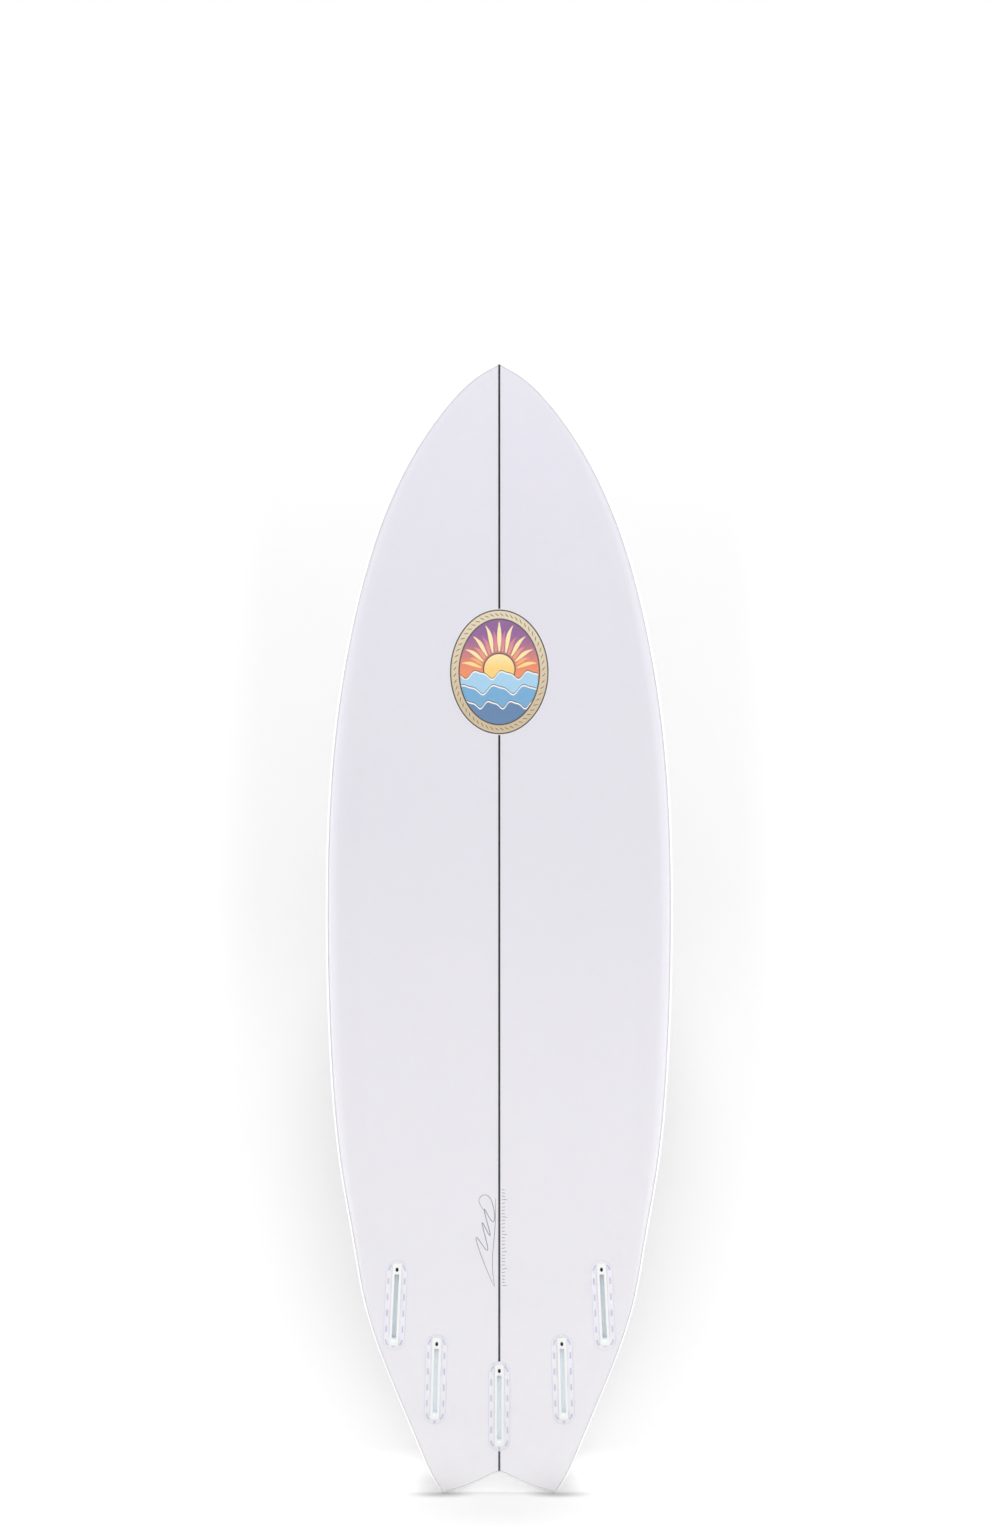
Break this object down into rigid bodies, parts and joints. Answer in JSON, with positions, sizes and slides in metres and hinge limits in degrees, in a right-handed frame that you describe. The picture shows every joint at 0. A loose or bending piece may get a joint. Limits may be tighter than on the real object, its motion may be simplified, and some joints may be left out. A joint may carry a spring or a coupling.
{
  "type": "shortboard surfboard",
  "caption": "Swallow-tail shortboard: foam blank halves and stringer in a glass shell, with single-slot fin boxes, clamp screws and a leash plug.",
  "frame": {"origin": "centre of the board's bounding box at the level of the two tail tips, which it stands on", "axes": "+Z from tail to nose, bottom faces -Y, deck faces +Y, +X to the right when facing the bottom"},
  "size_m": [0.527, 0.1285, 1.727],
  "materials": {
    "bottom_glass": "clear resin and glass cloth over the bottom, wet-sanded gloss",
    "deck_glass": "clear resin and glass cloth over the deck, wet-sanded gloss",
    "foam": "white polyurethane foam, finely sanded",
    "stringer": "dark thin wooden strip",
    "decal_laminate": null,
    "leash_plug_cup": "white moulded plastic",
    "leash_plug_pin": "stainless steel bar",
    "fin_box": "white moulded plastic, sanded flush",
    "fin_screw": "dark steel set screw with a hexagonal socket"
  },
  "bodies": {
    "board": {"bottom_glass": "bottom_glass", "deck_glass": "deck_glass", "foam_left": "foam", "foam_right": "foam", "stringer": "stringer", "decal_laminate": "decal_laminate", "leash_plug_cup": "leash_plug_cup", "leash_plug_pin": "leash_plug_pin", "fin_box_front_left": "fin_box", "fin_box_front_right": "fin_box", "fin_box_rear_left": "fin_box", "fin_box_rear_right": "fin_box", "fin_box_centre": "fin_box"},
    "fin_screw_front_left": {"fin_screw_front_left": "fin_screw"},
    "fin_screw_front_right": {"fin_screw_front_right": "fin_screw"},
    "fin_screw_rear_left": {"fin_screw_rear_left": "fin_screw"},
    "fin_screw_rear_right": {"fin_screw_rear_right": "fin_screw"},
    "fin_screw_centre": {"fin_screw_centre": "fin_screw"}
  },
  "joints": [
    {"name": "screw_travel_front_left", "type": "slide", "parent": "board", "child": "fin_screw_front_left", "axis": [-0.0429, 0.7647, -0.643], "range_m": [-0.003, 0.004]},
    {"name": "screw_travel_front_right", "type": "slide", "parent": "board", "child": "fin_screw_front_right", "axis": [0.0429, 0.7647, -0.643], "range_m": [-0.003, 0.004]},
    {"name": "screw_travel_rear_left", "type": "slide", "parent": "board", "child": "fin_screw_rear_left", "axis": [-0.0308, 0.7727, -0.6341], "range_m": [-0.003, 0.004]},
    {"name": "screw_travel_rear_right", "type": "slide", "parent": "board", "child": "fin_screw_rear_right", "axis": [0.0308, 0.7727, -0.6341], "range_m": [-0.003, 0.004]},
    {"name": "screw_travel_centre", "type": "slide", "parent": "board", "child": "fin_screw_centre", "axis": [0, 0.7738, -0.6335], "range_m": [-0.003, 0.004]}
  ]
}
